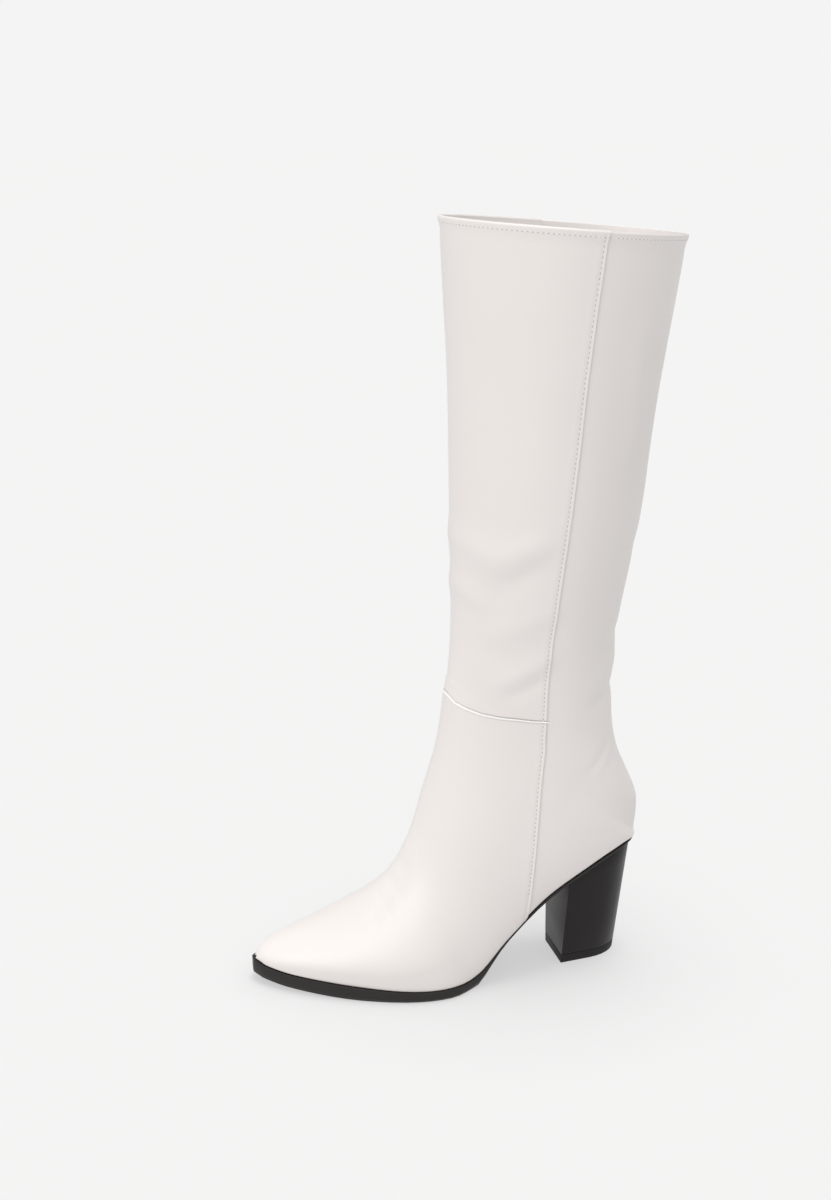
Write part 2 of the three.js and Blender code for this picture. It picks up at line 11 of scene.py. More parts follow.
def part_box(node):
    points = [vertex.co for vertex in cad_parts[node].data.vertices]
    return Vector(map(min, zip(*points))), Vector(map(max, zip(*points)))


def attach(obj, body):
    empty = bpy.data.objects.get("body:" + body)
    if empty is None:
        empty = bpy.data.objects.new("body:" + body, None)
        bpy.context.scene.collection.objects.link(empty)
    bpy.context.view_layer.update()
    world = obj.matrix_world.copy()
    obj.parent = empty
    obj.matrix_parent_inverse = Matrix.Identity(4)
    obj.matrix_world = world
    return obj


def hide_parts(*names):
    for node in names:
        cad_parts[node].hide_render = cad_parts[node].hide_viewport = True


bl_info = {
    "name": "Block Heel Boot",
    "version": (1, 0, 0),
    "blender": (4, 5, 0),
    "location": "View3D > Sidebar > Boot",
    "description": "Builds the visible pieces of a left block heel boot around its packed frame",
    "category": "Object",
}

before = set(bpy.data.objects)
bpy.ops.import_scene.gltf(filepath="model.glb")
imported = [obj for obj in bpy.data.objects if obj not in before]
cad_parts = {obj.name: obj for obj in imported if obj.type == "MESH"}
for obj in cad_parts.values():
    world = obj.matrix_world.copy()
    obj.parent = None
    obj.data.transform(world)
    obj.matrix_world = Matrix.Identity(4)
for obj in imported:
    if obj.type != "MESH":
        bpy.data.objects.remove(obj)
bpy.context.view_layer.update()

MM = 0.001

# Driving sizes of the last and the shaft, in millimetres, as in the part's source
BOOT_LENGTH = 243
BALL_WIDTH = 80
SEAT_HEIGHT = 84
INSTEP_HEIGHT = 100
SHAFT_HEIGHT = 370
SHAFT_DEPTH = 142
SHAFT_WIDTH = 109
SOLE_THICKNESS = 7
TOE_SPRING = 8
SEAT_LEAN = math.radians(4.5)
TOE_SWING = math.radians(13.5)
SWING_START = 52
SWING_EASE = 66
BOOT_HEIGHT = SEAT_HEIGHT + SHAFT_HEIGHT

# Place of the breast's outer corner on the heel tip before the frame was centred
TIP_CORNER_SIDE = 19.46
TIP_CORNER_AHEAD = 54.69

PANEL_LAP = 0.8
HEM_SINK = 0.3
LINING_DEPTH = 2.3
ZIP_TOP = 201
ZIP_FOOT = 50
ZIP_OPENING = 7.6
TAPE_DEPTH = 1.5
SLIDER_DROP = 7

# ridge, bed, spring, lift, rise, outer, inner, edge outer, edge inner, belly, round top, round low
FOOT_ROWS = [
    [1.0, 1.003, 1.0, 0, 0.012, 0.05, 0.05, 0.045, 0.045, 0.4, 2.0, 2.0],
    [0.99, 0.993, 0.93, 0, 0.055, 0.17, 0.17, 0.13, 0.13, 0.4, 2.0, 2.1],
    [0.968, 0.975, 0.78, 0, 0.108, 0.31, 0.31, 0.235, 0.235, 0.35, 2.0, 2.2],
    [0.925, 0.915, 0.55, 0, 0.172, 0.535, 0.535, 0.475, 0.475, 0.32, 2.0, 2.3],
    [0.852, 0.798, 0.34, 0, 0.256, 0.82, 0.785, 0.795, 0.75, 0.3, 2.0, 2.3],
    [0.76, 0.658, 0.06, 0, 0.4, 1.033, 0.975, 1.01, 0.95, 0.28, 1.9, 2.3],
    [0.671, 0.548, 0, 0, 0.581, 1.033, 0.95, 0.985, 0.915, 0.28, 1.8, 2.3],
    [0.61, 0.465, 0, 0.033, 0.796, 0.89, 0.855, 0.735, 0.7, 0.3, 1.8, 2.2],
    [0.571, 0.382, 0, 0.292, 0.912, 0.83, 0.82, 0.62, 0.605, 0.32, 1.9, 2.1],
    [0.539, 0.276, 0, 0.614, 0.931, 0.82, 0.81, 0.605, 0.62, 0.32, 2.0, 2.0],
    [0.524, 0.156, 0, 0.848, 0.951, 0.795, 0.795, 0.64, 0.65, 0.32, 2.1, 2.0],
    [0.518, 0.062, 0, 0.974, 0.98, 0.77, 0.77, 0.55, 0.53, 0.35, 2.2, 2.1],
    [0.514, 0.032, 0, 1.0, 1.02, 0.76, 0.76, 0.36, 0.34, 0.37, 2.2, 2.25],
    [0.511, 0.023, 0, 1.02, 1.045, 0.755, 0.755, 0.13, 0.12, 0.39, 2.2, 2.45],
]

# middle, depth, front, back, half, belly, round top, round low
SHAFT_ROWS = [
    [0.2595, 0.855, 0.294, 0.034, 0.552, 0.41, 2.2, 2.5],
    [0.259, 0.844, 0.304, 0.0735, 0.552, 0.43, 2.2, 2.4],
    [0.285, 0.737, 0.339, 0.162, 0.575, 0.48, 2.1, 2.2],
    [0.291, 0.704, 0.396, 0.253, 0.618, 0.5, 2.1, 2.1],
    [0.286, 0.723, 0.491, 0.376, 0.732, 0.5, 2.0, 2.0],
    [0.264, 0.804, 0.6435, 0.55, 0.87, 0.5, 2.0, 2.0],
    [0.247, 0.88, 0.818, 0.757, 0.957, 0.5, 2.0, 2.0],
    [0.226, 1.0, 1.017, 0.983, 1.0, 0.5, 2.0, 2.0],
]

# Side seam: height as a share of the boot's height, ahead as a share of its length
SEAM_ROWS = [
    [0.09, 0.334], [0.163, 0.327], [0.216, 0.319], [0.278, 0.31], [0.335, 0.298], [0.419, 0.299],
    [0.491, 0.295], [0.601, 0.28], [0.747, 0.259], [0.826, 0.2485], [0.912, 0.232], [1.05, 0.199],
]

# Joint of vamp and shaft: ahead as a share of the boot's length, height as a share of its height
JOINT_ROWS = [
    [0.25, 0.3775], [0.329, 0.3806], [0.365, 0.3828], [0.406, 0.3844], [0.448, 0.3879],
    [0.479, 0.3932], [0.502, 0.3985], [0.515, 0.4065], [0.6, 0.42],
]

# Creases of the leather: ahead and height of both ends, height of the ridge over the leather
# (below zero for a trough), width, all in millimetres, and the side: 1 outer, -1 inner, 0 both
CREASES = [
    [118, 282, 103, 271, 1.7, 15, 0],
    [103, 271, 81, 284, 1.9, 16, 1],
    [104, 252, 82, 270, -1.2, 15, 1],
    [120, 254, 111, 245, 1.3, 10, 0],
    [102, 229, 74, 242, 1.1, 14, 1],
    [112, 216, 92, 212, -0.6, 13, 0],
    [100, 197, 74, 213, 1.3, 12, 1],
    [94, 188, 76, 199, -0.8, 9, 1],
    [30, 150, 62, 118, -0.6, 4.5, 0],
    [26, 140, 56, 108, -0.45, 5, 0],
    [12, 222, 34, 214, -1.0, 10, 0],
    [10, 275, 28, 262, -0.7, 12, 0],
    [18, 186, 40, 178, -1.2, 9, 0],
    [14, 204, 36, 196, 0.7, 9, 0],
    [27, 330, 26, 402, 0.8, 13, 1],
    [14, 320, 14, 398, -0.5, 13, 1],
    [175, 46, 167, 58, -0.9, 4, 0],
    [167, 53, 159, 67, -0.95, 4, 0],
    [159, 60, 152, 78, -0.7, 5, 0],
]


def catmull(p0, p1, p2, p3, t):
    """Smooth value between p1 and p2."""
    return 0.5 * (
        2 * p1
        + (p2 - p0) * t
        + (2 * p0 - 5 * p1 + 4 * p2 - p3) * t**2
        + (3 * p1 - p0 - 3 * p2 + p3) * t**3
    )


def section_table():
    """Sections from toe to collar: ridge, bed, half widths, bed edges, belly and roundings."""
    table = []
    for row in FOOT_ROWS:
        ridge, bed, spring, lift, rise, outer, inner, edge_out, edge_in, belly, top, low = row
        height = SOLE_THICKNESS + spring * TOE_SPRING + lift * (SEAT_HEIGHT - SOLE_THICKNESS)
        half = BALL_WIDTH / 2
        table.append([
            ridge * BOOT_LENGTH, height + rise * INSTEP_HEIGHT, bed * BOOT_LENGTH, height,
            outer * half, inner * half, edge_out * half, edge_in * half, belly, top, low,
        ])
    for middle, depth, front, back, half, belly, top, low in SHAFT_ROWS:
        reach = depth * SHAFT_DEPTH / 2
        side = half * SHAFT_WIDTH / 2
        table.append([
            middle * BOOT_LENGTH + reach, SEAT_HEIGHT + front * SHAFT_HEIGHT,
            middle * BOOT_LENGTH - reach, SEAT_HEIGHT + back * SHAFT_HEIGHT,
            side, side, 0, 0, belly, top, low,
        ])
    table = np.array(table, float)
    before = 2 * table[0] - table[1]
    after = 2 * table[-1] - table[-2]
    return np.vstack([before, table, after])


SECTIONS = section_table()
COLLAR = len(SECTIONS) - 3
SEAT = len(FOOT_ROWS) - 1
TIP_LOW, TIP_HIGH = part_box("heel_tip")
SHIFT = np.array([TIP_HIGH.x / MM - TIP_CORNER_SIDE, TIP_LOW.y / MM + TIP_CORNER_AHEAD, 0])


def section_at(u):
    """Values of the section table at u."""
    i = np.clip(np.floor(u).astype(int), 0, COLLAR - 1)
    t = (u - i)[..., None]
    return catmull(SECTIONS[i], SECTIONS[i + 1], SECTIONS[i + 2], SECTIONS[i + 3], t)


def middle_line(ahead):
    """Sideways place of the foot's middle line."""
    past = np.clip(ahead - SWING_START, 0, None)
    return math.tan(SEAT_LEAN) * ahead - math.tan(TOE_SWING) * past**2 / (past + SWING_EASE)


def surface(u, v):
    """Points of the last's surface: u counts sections, v is 0 on the ridge, 1 and -1 on the bed."""
    u, v = np.broadcast_arrays(np.asarray(u, float), np.asarray(v, float))
    rows = np.moveaxis(section_at(u), -1, 0)
    ridge, ridge_z, bed, bed_z, outer, inner, edge_out, edge_in, belly, top, low = rows
    angle = np.abs(v) * math.pi
    half = np.where(v >= 0, outer, inner)
    edge = np.maximum(np.where(v >= 0, edge_out, edge_in), 0)
    across = np.clip(np.sin(angle), 0, 1)
    cosine = np.cos(angle)
    upper = angle <= math.pi / 2
    side = np.where(upper, half * across ** (2 / top), edge + (half - edge) * across ** (2 / low))
    share = np.where(
        upper,
        belly + (1 - belly) * np.clip(cosine, 0, 1) ** (2 / top),
        belly * (1 - np.clip(-cosine, 0, 1) ** (2 / low)),
    )
    ahead = bed + (ridge - bed) * share
    height = bed_z + (ridge_z - bed_z) * share
    return np.stack([np.where(v >= 0, side, -side) + middle_line(ahead), -ahead, height], -1)


def unit(vectors):
    """Vectors of length one."""
    return vectors / np.maximum(np.linalg.norm(vectors, axis=-1, keepdims=True), 1e-9)


def normals(u, v):
    """Outward directions of the surface, and the directions along it towards the collar."""
    u, v = np.broadcast_arrays(np.asarray(u, float), np.asarray(v, float))
    step = 0.004
    limit = np.where(v >= 0, 1, -1) * np.minimum(np.abs(v), 1 - step)
    along = surface(np.minimum(u + 0.02, COLLAR), limit) - surface(np.maximum(u - 0.02, 0), limit)
    round_ = surface(u, limit + step) - surface(u, limit - step)
    out = unit(np.cross(round_, along))
    return out, unit(along)


def seam_ahead(height):
    """Ahead of the side seam at a height."""
    rows = np.array(SEAM_ROWS)
    return np.interp(height / BOOT_HEIGHT, rows[:, 0], rows[:, 1]) * BOOT_LENGTH


def behind_seam(points):
    """Distance behind the side seam."""
    return points[..., 1] + seam_ahead(points[..., 2])


def over_joint(points):
    """Height over the joint of vamp and shaft."""
    rows = np.array(JOINT_ROWS)
    line = np.interp(-points[..., 1] / BOOT_LENGTH, rows[:, 0], rows[:, 1]) * BOOT_HEIGHT
    return points[..., 2] - line


def root(rising, low, high):
    """Values between low and high where a rising function passes zero."""
    for _ in range(34):
        middle = (low + high) / 2
        past = rising(middle) > 0
        high = np.where(past, middle, high)
        low = np.where(past, low, middle)
    return (low + high) / 2


def seam_v(u, side, distance):
    """v of the line a distance behind the side seam, a number or a function of height."""
    gap = distance if callable(distance) else lambda height: distance

    def rising(v):
        points = surface(u, side * v)
        return behind_seam(points) - gap(points[..., 2])

    u = np.asarray(u, float)
    return side * root(rising, np.full(u.shape, 0.02), np.full(u.shape, 1.0))


def seam_u(height, side):
    """u of the side seam at a height."""
    height = np.asarray(height, float)

    def rising(u):
        return surface(u, seam_v(u, side, 0.0))[..., 2] - height

    return root(rising, np.full(height.shape, SEAT - 5.0), np.full(height.shape, float(COLLAR)))


def smooth(x, low, high):
    """Soft step from 0 at low to 1 at high."""
    t = np.clip((x - low) / (high - low), 0, 1)
    return t * t * (3 - 2 * t)


def creases(points, side):
    """Height of the soft folds over the leather's plain form."""
    ahead = -points[..., 1]
    height = points[..., 2]
    relief = np.zeros(ahead.shape)
    for a0, z0, a1, z1, rise, width, face in CREASES:
        run = np.array([a1 - a0, z1 - z0], float)
        length = np.hypot(*run)
        run /= length
        t = (ahead - a0) * run[0] + (height - z0) * run[1]
        off = (ahead - a0) * -run[1] + (height - z0) * run[0]
        ends = smooth(t, -width, width * 0.6) * smooth(length - t, -width, width * 0.6)
        on_side = 1.0 if face == 0 else smooth(face * side, -0.12, 0.12)
        relief += rise * np.exp(-((off / (width * 0.55)) ** 2)) * ends * on_side
    shaft = smooth(height, 200, 260)
    wave = np.sin(height / 31 + 2.6 * side) * np.sin(height / 57 - 1.9 * side + 0.8)
    return relief + 0.35 * shaft * wave


def flare(u):
    """Height of the leather's turned-out edge at the collar and of the soft dip below it."""
    dip = np.exp(-(((u - COLLAR + 0.1) / 0.04) ** 2))
    return 1.1 * smooth(u, COLLAR - 0.1, COLLAR) - 0.25 * dip


def leather_points(u, v, out, folded=True):
    """Points of the boot at a height over the leather's plain form, in the frame's place."""
    plain = surface(u, v)
    direction, _ = normals(u, v)
    relief = creases(plain, v) + flare(u) if folded else 0
    return plain + direction * (np.asarray(out) + relief)[..., None] + SHIFT


def deselect():
    """Leaves edit mode and deselects everything."""
    if bpy.context.object and bpy.context.object.mode != "OBJECT":
        bpy.ops.object.mode_set(mode="OBJECT")
    bpy.ops.object.select_all(action="DESELECT")


def activate(piece):
    """Selects one piece alone."""
    deselect()
    piece.select_set(True)
    bpy.context.view_layer.objects.active = piece


def apply_modifiers(piece):
    """Applies every modifier of a piece in order."""
    activate(piece)
    for modifier in list(piece.modifiers):
        bpy.ops.object.modifier_apply(modifier=modifier.name)


def grid_sheet(name, columns, rows, shape):
    """Grid bent onto the boot: shape turns shares across and along into points in millimetres."""
    deselect()
    bpy.ops.mesh.primitive_grid_add(x_subdivisions=columns, y_subdivisions=rows, size=1)
    piece = bpy.context.object
    piece.name = name
    piece.data.name = name
    flat = np.empty(len(piece.data.vertices) * 3)
    piece.data.vertices.foreach_get("co", flat)
    flat = flat.reshape(-1, 3)
    points = shape(flat[:, 0] + 0.5, flat[:, 1] + 0.5) * MM
    piece.data.vertices.foreach_set("co", points.ravel())
    piece.data.update()
    return piece


def edit_whole(piece):
    """Opens a piece for editing with all of it selected."""
    activate(piece)
    bpy.ops.object.mode_set(mode="EDIT")
    bpy.ops.mesh.select_all(action="SELECT")


def clean(piece, distance=0.00002):
    """Merges doubles and turns faces outwards."""
    edit_whole(piece)
    bpy.ops.mesh.remove_doubles(threshold=distance)
    bpy.ops.mesh.dissolve_degenerate(threshold=distance / 4)
    bpy.ops.mesh.normals_make_consistent(inside=False)
    bpy.ops.object.mode_set(mode="OBJECT")
    return piece


def close_ends(piece):
    """Fills the open ends of a tube."""
    activate(piece)
    bpy.ops.object.mode_set(mode="EDIT")
    bpy.ops.mesh.select_all(action="DESELECT")
    bpy.ops.mesh.select_mode(type="EDGE")
    bpy.ops.mesh.select_non_manifold()
    bpy.ops.mesh.edge_face_add()
    bpy.ops.object.mode_set(mode="OBJECT")
    return clean(piece)


def relax(piece, weight_of, rounds):
    """Evens out a sheet where weight_of gives a weight for its points in millimetres."""
    points = np.array([vertex.co[:] for vertex in piece.data.vertices]) / MM
    group = piece.vertex_groups.new(name="Evened")
    for i, weight in enumerate(weight_of(points)):
        if weight > 0:
            group.add([i], float(weight), "REPLACE")
    even = piece.modifiers.new("Evened", "SMOOTH")
    even.factor = 0.5
    even.iterations = rounds
    even.vertex_group = group.name
    apply_modifiers(piece)


def thicken(piece, thickness, offset=-1):
    """Gives a sheet its thickness, by default inwards."""
    solidify = piece.modifiers.new("Thickness", "SOLIDIFY")
    solidify.thickness = thickness * MM
    solidify.offset = offset
    solidify.use_even_offset = False
    apply_modifiers(piece)
    return piece


def soften(piece, width, segments=2, angle=35, smooth_angle=40):
    """Rounds the hard edges of a piece and shades it smooth."""
    if width:
        bevel = piece.modifiers.new("Edges", "BEVEL")
        bevel.width = width * MM
        bevel.segments = segments
        bevel.limit_method = "ANGLE"
        bevel.angle_limit = math.radians(angle)
        bevel.use_clamp_overlap = True
        apply_modifiers(piece)
    activate(piece)
    bpy.ops.object.shade_smooth_by_angle(angle=math.radians(smooth_angle))
    return piece


def frame_copy(node, name):
    """Copy of a solid of the frame, with its loose triangles merged."""
    piece = bpy.data.objects.new(name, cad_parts[node].data.copy())
    piece.data.name = name
    piece.data.materials.clear()
    bpy.context.scene.collection.objects.link(piece)
    edit_whole(piece)
    bpy.ops.mesh.remove_doubles(threshold=0.000002)
    bpy.ops.mesh.tris_convert_to_quads(face_threshold=0.05, shape_threshold=0.6)
    bpy.ops.object.mode_set(mode="OBJECT")
    return piece


def finish_piece(piece, material, slot, *nodes, body="boot"):
    """Gives a piece its material and its body, and hides the frame's solids it stands for."""
    piece.data.materials.clear()
    piece.data.materials.append(material)
    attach(piece, body)
    if nodes:
        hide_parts(*nodes)
    return piece


def resample(points, outs, pitch):
    """Places at an even pitch along a path: centre, direction along it and direction outwards."""
    steps = np.linalg.norm(np.diff(points, axis=0), axis=1)
    run = np.concatenate([[0], np.cumsum(steps)])
    count = max(int(run[-1] / pitch), 1)
    at = (np.arange(count) + 0.5) * run[-1] / count

    def read(where, rows):
        return np.stack([np.interp(where, run, rows[:, i]) for i in range(3)], -1)

    return read(at, points), unit(read(at + 0.2, points) - read(at - 0.2, points)), unit(read(at, outs))


def repeat(name, unit_piece, centres, alongs, outs, turn=0.0):
    """One piece made of many copies of a small one, each turned by an angle about the way out."""
    base = np.array([v.co[:] for v in unit_piece.data.vertices])
    faces = [tuple(p.vertices) for p in unit_piece.data.polygons]
    cos, sin = math.cos(turn), math.sin(turn)
    points = []
    polygons = []
    for i, (centre, along, out) in enumerate(zip(centres, alongs, outs)):
        beside = unit(np.cross(out, along))
        out = np.cross(along, beside)
        first = cos * along + sin * beside
        second = np.cross(out, first)
        points.append(centre * MM + base @ np.stack([first, second, out]))
        polygons += [tuple(k + i * len(base) for k in face) for face in faces]
    mesh = bpy.data.meshes.new(name)
    mesh.from_pydata(np.concatenate(points).tolist(), [], polygons)
    piece = bpy.data.objects.new(name, mesh)
    bpy.context.scene.collection.objects.link(piece)
    bpy.data.objects.remove(unit_piece)
    return clean(piece, 0.000001)


def bead(length, width, height, segments=8, rings=5):
    """Small rounded body along X."""
    deselect()
    bpy.ops.mesh.primitive_uv_sphere_add(segments=segments, ring_count=rings, radius=0.5)
    piece = bpy.context.object
    edit_whole(piece)
    bpy.ops.transform.rotate(value=math.pi / 2, orient_axis="Y", center_override=(0, 0, 0))
    bpy.ops.transform.resize(
        value=(length * MM, width * MM, height * MM), center_override=(0, 0, 0)
    )
    bpy.ops.object.mode_set(mode="OBJECT")
    return piece


# Shader groups and materials


def new_group(name, inputs, outputs):
    """Shader group with its sockets, and its input and output nodes."""
    group = bpy.data.node_groups.new(name, "ShaderNodeTree")
    for label, kind, default in inputs:
        socket = group.interface.new_socket(name=label, in_out="INPUT", socket_type=kind)
        if default is not None:
            socket.default_value = default
    for label, kind in outputs:
        group.interface.new_socket(name=label, in_out="OUTPUT", socket_type=kind)
    return group, add(group, "NodeGroupInput"), add(group, "NodeGroupOutput")


def add(tree, kind, **values):
    """New node with its settings."""
    node = tree.nodes.new(kind)
    for key, value in values.items():
        setattr(node, key, value)
    return node


def math_node(tree, operation, first, second):
    """Math node on two sockets or numbers."""
    node = add(tree, "ShaderNodeMath", operation=operation)
    for i, value in enumerate((first, second)):
        if isinstance(value, (int, float)):
            node.inputs[i].default_value = value
        else:
            tree.links.new(value, node.inputs[i])
    return node.outputs[0]


def grain_group():
    """Pebbled leather grain: a height for the bump and a mask of its pores."""
    if "Leather Grain" in bpy.data.node_groups:
        return bpy.data.node_groups["Leather Grain"]
    group, inward, outward = new_group(
        "Leather Grain",
        [("Vector", "NodeSocketVector", None), ("Scale", "NodeSocketFloat", 1500.0)],
        [("Height", "NodeSocketFloat"), ("Pores", "NodeSocketFloat")],
    )
    cells = add(group, "ShaderNodeTexVoronoi", feature="SMOOTH_F1")
    cells.inputs["Smoothness"].default_value = 0.6
    fine = add(group, "ShaderNodeTexNoise")
    fine.inputs["Detail"].default_value = 4
    group.links.new(inward.outputs["Vector"], cells.inputs["Vector"])
    group.links.new(inward.outputs["Vector"], fine.inputs["Vector"])
    group.links.new(inward.outputs["Scale"], cells.inputs["Scale"])
    half = math_node(group, "MULTIPLY", inward.outputs["Scale"], 0.45)
    group.links.new(half, fine.inputs["Scale"])
    domes = math_node(group, "SUBTRACT", 1.0, cells.outputs["Distance"])
    height = math_node(group, "ADD", domes, fine.outputs["Fac"])
    group.links.new(height, outward.inputs["Height"])
    pores = math_node(group, "POWER", cells.outputs["Distance"], 2.0)
    group.links.new(pores, outward.inputs["Pores"])
    return group


def tone_group():
    """Slow change of tone over a surface, between 0 and 1."""
    if "Slow Tone" in bpy.data.node_groups:
        return bpy.data.node_groups["Slow Tone"]
    group, inward, outward = new_group(
        "Slow Tone",
        [("Vector", "NodeSocketVector", None), ("Scale", "NodeSocketFloat", 12.0)],
        [("Tone", "NodeSocketFloat")],
    )
    broad = add(group, "ShaderNodeTexNoise")
    broad.inputs["Detail"].default_value = 3
    broad.inputs["Roughness"].default_value = 0.45
    group.links.new(inward.outputs["Vector"], broad.inputs["Vector"])
    group.links.new(inward.outputs["Scale"], broad.inputs["Scale"])
    ramp = add(group, "ShaderNodeMapRange")
    ramp.inputs["From Min"].default_value = 0.3
    ramp.inputs["From Max"].default_value = 0.7
    group.links.new(broad.outputs["Fac"], ramp.inputs["Value"])
    group.links.new(ramp.outputs["Result"], outward.inputs["Tone"])
    return group


def weave_group():
    """Plain weave: a height of crossing threads."""
    if "Plain Weave" in bpy.data.node_groups:
        return bpy.data.node_groups["Plain Weave"]
    group, inward, outward = new_group(
        "Plain Weave",
        [("Vector", "NodeSocketVector", None), ("Threads", "NodeSocketFloat", 1600.0)],
        [("Height", "NodeSocketFloat")],
    )
    parts = add(group, "ShaderNodeSeparateXYZ")
    group.links.new(inward.outputs["Vector"], parts.inputs[0])
    level = []
    for axis in ("Y", "Z"):
        scaled = math_node(group, "MULTIPLY", parts.outputs[axis], inward.outputs["Threads"])
        wave = math_node(group, "SINE", scaled, 0.0)
        level.append(math_node(group, "ABSOLUTE", wave, 0.0))
    group.links.new(math_node(group, "MULTIPLY", *level), outward.inputs["Height"])
    return group


def effect(tree, group, vector, **values):
    """Shader group placed in a material with its own values."""
    node = add(tree, "ShaderNodeGroup", node_tree=group)
    tree.links.new(vector, node.inputs["Vector"])
    for key, value in values.items():
        node.inputs[key].default_value = value
    return node


def new_material(name, colour, dark, roughness, spread, settings):
    """Material whose colour and roughness drift, with its tree, shader and coordinates."""
    material = bpy.data.materials.new(name)
    material.use_nodes = True
    material.diffuse_color = (*colour, 1)
    tree = material.node_tree
    shader = tree.nodes["Principled BSDF"]
    place = add(tree, "ShaderNodeTexCoord")
    tone = effect(tree, tone_group(), place.outputs["Object"], Scale=14.0)
    mix = add(tree, "ShaderNodeMix", data_type="RGBA")
    mix.inputs[6].default_value = (*colour, 1)
    mix.inputs[7].default_value = (*dark, 1)
    tree.links.new(tone.outputs["Tone"], mix.inputs[0])
    tree.links.new(mix.outputs[2], shader.inputs["Base Color"])
    level = add(tree, "ShaderNodeMapRange")
    level.inputs["To Min"].default_value = roughness
    level.inputs["To Max"].default_value = roughness + spread
    tree.links.new(tone.outputs["Tone"], level.inputs["Value"])
    tree.links.new(level.outputs["Result"], shader.inputs["Roughness"])
    for key, value in settings.items():
        shader.inputs[key].default_value = value
    return material, tree, shader, place


def add_bump(tree, shader, height, strength, distance):
    """Bump of a height in millimetres."""
    bump = add(tree, "ShaderNodeBump")
    bump.inputs["Strength"].default_value = strength
    bump.inputs["Distance"].default_value = distance * MM
    tree.links.new(height, bump.inputs["Height"])
    tree.links.new(bump.outputs["Normal"], shader.inputs["Normal"])


def textured(name, colour, fade, roughness, spread, settings, group, bump, **values):
    """Material with a drifting tone and a shader group's relief. It is made once."""
    if name in bpy.data.materials:
        return bpy.data.materials[name]
    dark = [channel * fade for channel in colour]
    material, tree, shader, place = new_material(name, colour, dark, roughness, spread, settings)
    relief = effect(tree, group(), place.outputs["Object"], **values)
    add_bump(tree, shader, relief.outputs["Height"], *bump)
    return material


def leather(name, colour, roughness=0.4, scale=1300.0, strength=0.16):
    """Smooth finished leather with a fine grain."""
    settings = {"Specular IOR Level": 0.42, "Coat Weight": 0.06, "Coat Roughness": 0.35}
    bump = (strength, 0.05)
    return textured(name, colour, 0.972, roughness, 0.08, settings, grain_group, bump, Scale=scale)


def fabric(name, colour, threads=5200.0):
    """Woven tape or thread."""
    settings = {"Specular IOR Level": 0.2, "Sheen Weight": 0.25, "Sheen Roughness": 0.5}
    return textured(name, colour, 0.9, 0.75, 0.1, settings, weave_group, (0.5, 0.12), Threads=threads)


def moulded(name, colour, roughness, coat=0.0, scale=900.0, strength=0.08, specular=0.5):
    """Moulded plastic, rubber or enamel with faint pores and handling marks."""
    settings = {"Specular IOR Level": specular, "Coat Weight": coat, "Coat Roughness": 0.12}
    bump = (strength, 0.04)
    return textured(name, colour, 0.85, roughness, 0.08, settings, grain_group, bump, Scale=scale)


class BootSizes(bpy.types.PropertyGroup):
    """Sizes a user would change, in millimetres"""

    stitch_pitch: FloatProperty(
        name="Stitch pitch", description="Distance between two needle holes, in millimetres",
        default=2.75, min=1, max=6,
    )
    stitch_inset: FloatProperty(
        name="Stitch inset", description="Distance of a stitch row from its edge, in millimetres",
        default=2.4, min=1, max=6,
    )
    piping_radius: FloatProperty(
        name="Piping radius", description="Radius of the piping over the instep, in millimetres",
        default=0.8, min=0.4, max=2,
    )
    leather_thickness: FloatProperty(
        name="Leather thickness", description="Thickness of a panel, in millimetres",
        default=0.9, min=0.5, max=2,
    )
    collar_drop: FloatProperty(
        name="Collar stitch drop", description="Distance of the collar's stitch row below its edge",
        default=2.2, min=1, max=10,
    )
    tooth_pitch: FloatProperty(
        name="Tooth pitch", description="Distance between two teeth of the zip, in millimetres",
        default=1.15, min=0.6, max=3,
    )


class BootColours(bpy.types.PropertyGroup):
    """Colours of the boot's finishes, and the painted shade of its needle holes"""

    leather: FloatVectorProperty(
        name="Leather", description="Off-white leather", subtype="COLOR", size=3,
        default=(0.75, 0.71, 0.69), min=0, max=1,
    )
    piping: FloatVectorProperty(
        name="Piping", description="Bright white piping and thread", subtype="COLOR", size=3,
        default=(0.86, 0.845, 0.83), min=0, max=1,
    )
    lining: FloatVectorProperty(
        name="Lining", description="Lining and sock", subtype="COLOR", size=3,
        default=(0.84, 0.81, 0.79), min=0, max=1,
    )
    sole: FloatVectorProperty(
        name="Sole", description="Black sole", subtype="COLOR", size=3,
        default=(0.02, 0.016, 0.016), min=0, max=1,
    )
    heel: FloatVectorProperty(
        name="Heel", description="Semi-gloss black heel", subtype="COLOR", size=3,
        default=(0.012, 0.0095, 0.0095), min=0, max=1,
    )
    # Painted shade: colour of the dark beads at the needle holes, standing in for the shade inside them
    hole_shade: FloatVectorProperty(
        name="Needle holes", description="Shade inside the needle holes", subtype="COLOR", size=3,
        default=(0.40, 0.33, 0.31), min=0, max=1,
    )


def sizes():
    """Sizes in use."""
    return bpy.context.scene.boot_sizes


def colours():
    """Colours in use."""
    return bpy.context.scene.boot_colours


def boot_leather():
    """Leather of the panels."""
    return leather("Boot Leather", list(colours().leather))


def zip_gap(height):
    """Half the zip's opening at a height, zero above and below it."""
    opening = smooth(height, ZIP_FOOT - 7, ZIP_FOOT) * smooth(-height, -ZIP_TOP - 3, -ZIP_TOP)
    return opening * ZIP_OPENING / 2


EDGE_STATIONS = np.linspace(0, COLLAR, 421)
FRONT_OUTER = seam_v(EDGE_STATIONS, 1, 0.0)
FRONT_INNER = seam_v(EDGE_STATIONS, -1, lambda height: -zip_gap(height))
BACK_LAP = 7.0
BACK_OUTER = seam_v(EDGE_STATIONS, 1, -BACK_LAP)
BACK_INNER = seam_v(
    EDGE_STATIONS, -1,
    lambda height: np.where(zip_gap(height) > 0, zip_gap(height), -1.0),
)
FOLD_RADIUS = 1.25

